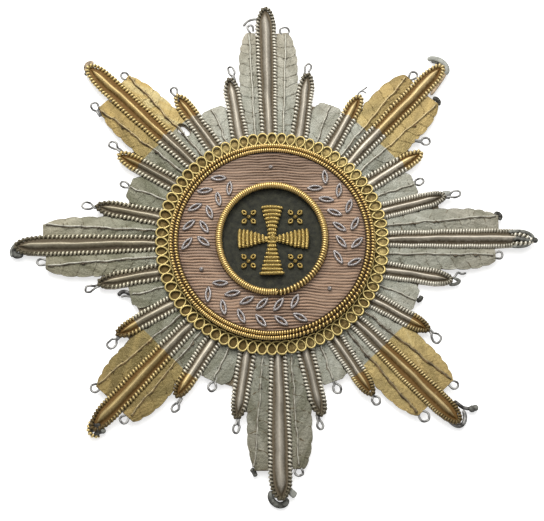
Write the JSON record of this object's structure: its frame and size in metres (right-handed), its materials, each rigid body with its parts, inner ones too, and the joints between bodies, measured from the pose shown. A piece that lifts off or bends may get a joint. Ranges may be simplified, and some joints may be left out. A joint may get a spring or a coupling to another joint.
{
  "type": "embroidered breast star",
  "caption": "Eight-armed breast star of metal thread, crimped foil and cloth on a card, with padded rays, corded edges and a round medallion holding a cross.",
  "frame": {"origin": "centre of the star on the back face of its card", "axes": "+Z out of the face, +Y towards the top arm, +X towards the arm on the right as the face is seen"},
  "size_m": [0.0883, 0.0888, 0.0049],
  "materials": {
    "card": "cloth-covered card, browned with age",
    "silver_foil": "crimped silver foil, matt and tarnished",
    "gilt_foil": "crimped gilt foil, matt and browned at its folds",
    "silver_ray": "laid silver thread over padding, tarnished in the hollows",
    "gilt_ray": "laid gilt thread over padding, browned in the hollows",
    "silver_cord": "twisted silver bullion with dark grooves",
    "gilt_cord": "twisted gilt bullion with dark grooves",
    "gold_rope": "twisted gold cord with brown grooves",
    "gold_purl": "gold purl, worn bright on top",
    "silver_purl": "silver purl, dulled",
    "pink_thread": "laid thread, faded dusty pink",
    "charcoal_cloth": "fine charcoal cloth",
    "wire": "fine wire, dulled and in places blackened",
    "gold_wire": "fine gold wire, worn and browned between its loops"
  },
  "bodies": {
    "root": {"backing": "card", "gap_leaf_e": "silver_foil", "gap_leaf_ne": "silver_foil", "gap_leaf_n": "silver_foil", "gap_leaf_nw": "silver_foil", "gap_leaf_w": "silver_foil", "gap_leaf_sw": "silver_foil", "gap_leaf_s": "silver_foil", "gap_leaf_se": "silver_foil", "feathers_e": "silver_foil", "feathers_ne": "gilt_foil", "feathers_n": "silver_foil", "feathers_nw": "gilt_foil", "feathers_w": "silver_foil", "feathers_sw": "gilt_foil", "feathers_s": "silver_foil", "feathers_se": "gilt_foil", "short_rays_e": "silver_ray", "short_rays_ne": "gilt_ray", "short_rays_n": "silver_ray", "short_rays_nw": "gilt_ray", "short_rays_w": "silver_ray", "short_rays_sw": "gilt_ray", "short_rays_s": "silver_ray", "short_rays_se": "gilt_ray", "short_cords_e": "silver_cord", "short_cords_ne": "gilt_cord", "short_cords_n": "silver_cord", "short_cords_nw": "gilt_cord", "short_cords_w": "silver_cord", "short_cords_sw": "gilt_cord", "short_cords_s": "silver_cord", "short_cords_se": "gilt_cord", "long_ray_e": "silver_ray", "long_ray_ne": "gilt_ray", "long_ray_n": "silver_ray", "long_ray_nw": "gilt_ray", "long_ray_w": "silver_ray", "long_ray_sw": "gilt_ray", "long_ray_s": "silver_ray", "long_ray_se": "gilt_ray", "long_cord_e": "silver_cord", "long_cord_ne": "gilt_cord", "long_cord_n": "silver_cord", "long_cord_nw": "gilt_cord", "long_cord_w": "silver_cord", "long_cord_sw": "gilt_cord", "long_cord_s": "silver_cord", "long_cord_se": "gilt_cord", "loop_ring": "gold_wire", "pink_field": "pink_thread", "rope_outer": "gold_rope", "rope_inner": "gold_rope", "laurel": "silver_purl", "centre_field": "charcoal_cloth", "rope_centre": "gold_rope", "cross": "gold_purl", "rosettes": "gold_purl", "sewing_loops": "wire"}
  },
  "joints": []
}
